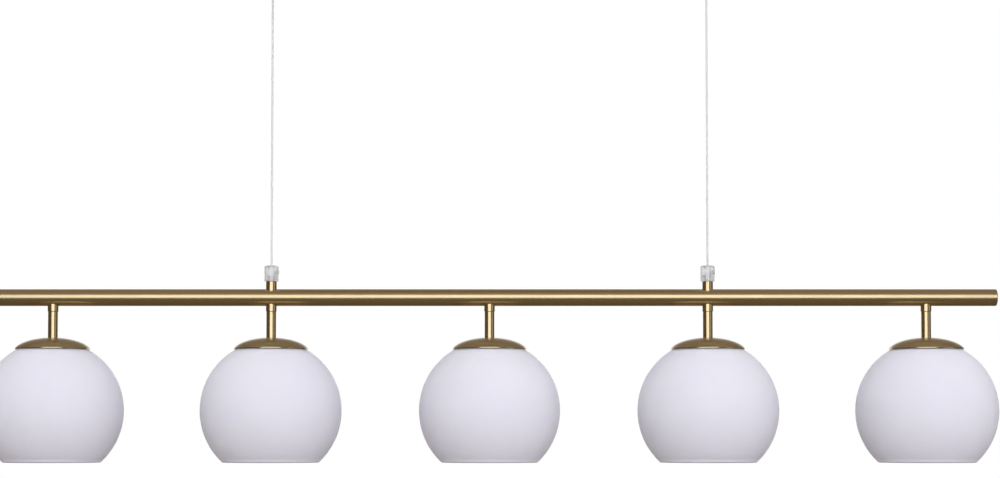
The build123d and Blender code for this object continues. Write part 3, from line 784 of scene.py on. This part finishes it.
bar_radius = full_height("bar_tube") / 2
for side in SIDES:
    node = f"hanger_stub_{side}"
    axis = (middle(node).x, 0, 0)
    foot, top = low(node).z, high(node).z
    stub_top = top - SPIGOT_LENGTH
    seat = bar_height + bar_radius - FLAT_SEAT_DEPTH
    bm = turned([
        (CABLE_HOLE_RADIUS, foot), (THREAD_CREST, foot), (THREAD_CREST, seat), (STUB_RADIUS, seat),
        (STUB_RADIUS, stub_top - STUB_EDGE), (STUB_RADIUS - STUB_EDGE, stub_top),
        (CABLE_HOLE_RADIUS, stub_top)])
    for vert in bm.verts:
        if abs(vert.co.z - seat) < SAME_PLACE:
            vert.co.z = bar_height + math.sqrt(bar_radius ** 2 - vert.co.y ** 2)
    stub = new_piece(bm, f"turned_stub_{side}", brass_turned, "bar", axis)
    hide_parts(node)
    bm = turned([
        (CABLE_HOLE_RADIUS, stub_top), (THREAD_ROOT, stub_top), (THREAD_ROOT, top - STUB_EDGE),
        (THREAD_ROOT - STUB_EDGE, top), (CABLE_HOLE_RADIUS, top)])
    add_thread(bm, THREAD_ROOT, THREAD_CREST, THREAD_PITCH, stub_top + STUB_EDGE, top - STUB_EDGE,
               THREAD_WALL)
    # The spigot carries the steel that is painted dark as painted shade.
    new_piece(bm, f"threaded_spigot_{side}", shaded_spigot_steel, "bar", axis)

# %% [markdown]
# ## Stems
# The stems are turned tubes too. Each one is bored for the hidden nipple, eased where it meets the
# collar, and its foot goes down to the dome of the cap so that no light shows between them.

# %% Stems
STEM_EDGE = 0.25 * MM

for number in LAMPS:
    node, cap_node = f"stem_{number}", f"cap_{number}"
    stem_radius, top = half_width(node), high(node).z
    dome = dome_curve(half_width(cap_node), full_height(cap_node))
    foot = high(cap_node).z - dome_drop(*dome, stem_radius)
    bm = turned([
        (CAP_HOLE_RADIUS, foot), (stem_radius, foot), (stem_radius, top - STEM_EDGE),
        (stem_radius - STEM_EDGE, top), (CAP_HOLE_RADIUS, top)])
    axis = (lamp_x[number], 0, 0)
    stem = new_piece(bm, f"turned_stem_{number}", brass_turned, "bar", axis)
    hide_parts(node)

# %% [markdown]
# ## Lampholders and screw shells
# Inside each globe a white lampholder hangs from the stem. Its skirt has a coarse moulded thread for
# the ring that presses the glass against the cap, and in its socket sits a rolled brass screw shell.
# The ridges are rings in the turned profile, because nobody can tell them from a helix so deep in the
# globe. The rolled thread faces the open mouth, so it is swept along a true helix.

# %% Lampholders
HOLDER_RADIUS = 14.0 * MM
HOLDER_RIDGE_DEPTH = 0.7 * MM
HOLDER_RIDGE_PITCH = 2.4 * MM
HOLDER_RIDGES = 9
HOLDER_PLAIN_FOOT = 3.2 * MM
HOLDER_TOP_RADIUS = 7.5 * MM
HOLDER_SHOULDER = 2.5 * MM
HOLDER_EDGE = 0.8 * MM
HOLDER_BORE_RADIUS = 7.5 * MM
HOLDER_BORE_DEPTH = 27.0 * MM
NIPPLE_HOLE_RADIUS = 4.1 * MM
NIPPLE_HOLE_DEPTH = 9.2 * MM
SOCKET_RADIUS = 9.5 * MM
SKIRT_BORE_RADIUS = 12.2 * MM
SKIRT_DEPTH = 24.0 * MM
HOLDER_ROOT = HOLDER_RADIUS - HOLDER_RIDGE_DEPTH
RIDGE_SHAPE = ((HOLDER_RADIUS, 0.0), (HOLDER_ROOT, 0.3), (HOLDER_ROOT, 0.5), (HOLDER_RADIUS, 0.8))


def holder_outline(top, bottom):
    """Outline of the lampholder from its nipple hole round the outside and back up the socket."""
    neck, skirt_roof = top - NIPPLE_HOLE_DEPTH, bottom + SKIRT_DEPTH
    bore_floor = bottom + HOLDER_BORE_DEPTH
    ridges_top = bottom + HOLDER_RIDGES * HOLDER_RIDGE_PITCH + HOLDER_PLAIN_FOOT
    ridges = [(radius, ridges_top - ridge * HOLDER_RIDGE_PITCH - share * HOLDER_RIDGE_PITCH)
              for ridge in range(HOLDER_RIDGES) for radius, share in RIDGE_SHAPE]
    return [
        (0, neck), (NIPPLE_HOLE_RADIUS, neck), (NIPPLE_HOLE_RADIUS, top), (HOLDER_TOP_RADIUS, top),
        (HOLDER_RADIUS, top - HOLDER_SHOULDER), *ridges,
        (HOLDER_RADIUS, bottom + HOLDER_EDGE), (HOLDER_RADIUS - HOLDER_EDGE, bottom),
        (SKIRT_BORE_RADIUS, bottom), (SKIRT_BORE_RADIUS, skirt_roof),
        (SOCKET_RADIUS, skirt_roof), (SOCKET_RADIUS, bottom),
        (HOLDER_BORE_RADIUS, bottom), (HOLDER_BORE_RADIUS, bore_floor), (0, bore_floor)]


for number in LAMPS:
    node = f"lampholder_{number}"
    bm = turned(holder_outline(high(node).z, low(node).z))
    axis = (lamp_x[number], 0, 0)
    holder = new_piece(bm, f"ridged_holder_{number}", white_plastic, "bar", axis)
    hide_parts(node)

# %% Screw shells
SHELL_ROOT = 7.15 * MM
SHELL_CREST = 7.45 * MM
SHELL_PITCH = 2.82 * MM
SHELL_SHEET = 0.2 * MM
TOOTH_FLANK = ((0.15, 0.12), (0.5, 0.25), (0.85, 0.38))

round_flank = [(SHELL_ROOT + (SHELL_CREST - SHELL_ROOT) * rise, share) for rise, share in TOOTH_FLANK]
for number in LAMPS:
    node = f"screw_shell_{number}"
    bm = bmesh.new()
    add_thread(bm, SHELL_ROOT, SHELL_CREST, SHELL_PITCH, low(node).z, high(node).z, SHELL_SHEET,
               waist=round_flank)
    axis = (lamp_x[number], 0, 0)
    shell = new_piece(bm, f"rolled_shell_{number}", contact_brass, "bar", axis)
    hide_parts(node)

# %% [markdown]
# ## Studio
# The photograph has a white ground, one wide soft light in front that draws a bright line along the
# brass, and dim surroundings that keep the rest of the brass dark. So the world is white to the camera
# and through clear plastic, dim and warm to reflections, and a soft pale grey to all other light.

# %% World
SOFT_SURROUND = (0.69, 0.69, 0.75, 1)
DIM_BELOW = (0.102, 0.072, 0.035, 1)
DIM_ABOVE = (0.288, 0.238, 0.186, 1)
DIM_CLIMB = {"From Min": -0.05, "From Max": 0.8}
WHITE = (1, 1, 1, 1)

scene = bpy.context.scene
scene.view_settings.view_transform = "Standard"
world = bpy.data.worlds.new("studio")
world.use_nodes = True
scene.world = world
tree = world.node_tree
background = tree.nodes["Background"]
rays = add_node(tree, "ShaderNodeLightPath")
seen = add_node(tree, "ShaderNodeMath", operation="MAXIMUM")
direction = add_node(tree, "ShaderNodeTexCoord")
upward = add_node(tree, "ShaderNodeSeparateXYZ")
climb = add_node(tree, "ShaderNodeMapRange", DIM_CLIMB)
dim = mix_colours(tree, A=DIM_BELOW, B=DIM_ABOVE)
around = mix_colours(tree, A=SOFT_SURROUND)
behind = mix_colours(tree, B=WHITE)
join(tree,
     (direction.outputs["Generated"], upward.inputs[0]),
     (upward.outputs["Z"], climb.inputs["Value"]),
     (climb.outputs["Result"], dim.inputs["Factor"]),
     (dim.outputs["Result"], around.inputs["B"]),
     (rays.outputs["Is Glossy Ray"], around.inputs["Factor"]),
     (around.outputs["Result"], behind.inputs["A"]),
     (rays.outputs["Is Camera Ray"], seen.inputs[0]),
     (rays.outputs["Is Transmission Ray"], seen.inputs[1]),
     (seen.outputs[0], behind.inputs["Factor"]),
     (behind.outputs["Result"], background.inputs["Color"]))
print("world", world.name, "with", len(tree.nodes), "nodes")

# %% [markdown]
# A panel behind the lamp is white to the camera, to reflections and through clear plastic, and gives
# no light of its own to anything else. The floor far below is pale to the camera and brown to the
# rest, which keeps the underside of the brass warm. Both are clear from behind, for a view from there.

# %% Stage surfaces
def stage_plane(name, size, material):
    bm = bmesh.new()
    bmesh.ops.create_grid(bm, x_segments=1, y_segments=1, size=0.5)
    bmesh.ops.scale(bm, verts=bm.verts, vec=(*size, 1))
    mesh = bpy.data.meshes.new(name)
    bm.to_mesh(mesh)
    bm.free()
    mesh.materials.append(material)
    plane = bpy.data.objects.new(name, mesh)
    scene.collection.objects.link(plane)
    print(name, size, "m")
    return plane


def stage_finish(name, colour, glow, seen_by):
    """Stage surface that glows white to the named kinds of ray and is clear from behind."""
    material, tree, shader = new_finish(name, Base_Color=colour, Roughness=0.9, Emission_Color=WHITE)
    rays = add_node(tree, "ShaderNodeLightPath")
    seen = rays.outputs[seen_by[0]]
    for kind in seen_by[1:]:
        wider = add_node(tree, "ShaderNodeMath", operation="MAXIMUM")
        join(tree, (seen, wider.inputs[0]), (rays.outputs[kind], wider.inputs[1]))
        seen = wider.outputs[0]
    strength = add_node(tree, "ShaderNodeMath", {1: glow}, operation="MULTIPLY")
    clear = add_node(tree, "ShaderNodeBsdfTransparent")
    side = add_node(tree, "ShaderNodeNewGeometry")
    mix = add_node(tree, "ShaderNodeMixShader")
    join(tree,
         (seen, strength.inputs[0]),
         (strength.outputs[0], shader.inputs["Emission Strength"]),
         (side.outputs["Backfacing"], mix.inputs[0]),
         (shader.outputs[0], mix.inputs[1]),
         (clear.outputs[0], mix.inputs[2]),
         (mix.outputs[0], tree.nodes["Material Output"].inputs["Surface"]))
    print(name, "glows to", len(seen_by), "kinds of ray")
    return material


# %% Panel and floor
PANEL_SIZE = (3.4, 2.0)
PANEL_DISTANCE = 2.6
PANEL_GLOW = 1.0
FLOOR_SIZE = (14.0, 14.0)
FLOOR_HEIGHT = -2.4
FLOOR_GLOW = 0.80
FLOOR_BROWN = (0.175, 0.135, 0.075, 1)
BLACK = (0, 0, 0, 1)

panel_white = stage_finish(
    "white panel", BLACK, PANEL_GLOW, ("Is Camera Ray", "Is Glossy Ray", "Is Transmission Ray"))
floor_pale = stage_finish("pale floor", FLOOR_BROWN, FLOOR_GLOW, ("Is Camera Ray",))
panel = stage_plane("panel", PANEL_SIZE, panel_white)
panel.rotation_euler = (math.radians(90), 0, 0)
panel.location = (0, PANEL_DISTANCE, bar_height)
floor = stage_plane("floor", FLOOR_SIZE, floor_pale)
floor.location = (0, 0, FLOOR_HEIGHT)

# %% [markdown]
# The front light is wide, so its reflection is a thin line along the bar and a band on the stems. Two
# cool fills light the glass without showing in the brass, one of them from below like a card on the
# floor, and a side panel lifts the right.

# %% Lights
COOL = (0.97, 0.98, 1.2)
AIM_BELOW_BAR = 0.06

lamp_middle = Vector((0, 0, bar_height - AIM_BELOW_BAR))


def soft_light(name, size, place, radiance, colour=(1, 1, 1), shows_in_metal=True):
    """Soft rectangle of light that the camera doesn't see, turned to the middle of the lamp."""
    data = bpy.data.lights.new(name, "AREA")
    data.color = colour
    data.shape = "RECTANGLE"
    data.size, data.size_y = size
    data.energy = radiance * math.pi * size[0] * size[1]
    light = bpy.data.objects.new(name, data)
    light.location = place
    light.rotation_euler = (lamp_middle - Vector(place)).to_track_quat("-Z", "Y").to_euler()
    light.visible_glossy = shows_in_metal
    light.visible_camera = False
    scene.collection.objects.link(light)
    print(name, round(data.energy, 2), "W")


soft_light("front softbox", size=(2.9, 1.7), place=(0, -2.3, bar_height + 0.56), radiance=1.75)
soft_light("fill", size=(3.0, 1.6), place=(1.0, -2.7, bar_height + 0.3), radiance=0.5, colour=COOL,
           shows_in_metal=False)
soft_light("low fill", size=(2.8, 1.2), place=(0.2, -0.75, bar_height - 1.4), radiance=0.56, colour=COOL,
           shows_in_metal=False)
soft_light("right panel", size=(1.2, 1.6), place=(2.2, -0.9, bar_height), radiance=0.38)
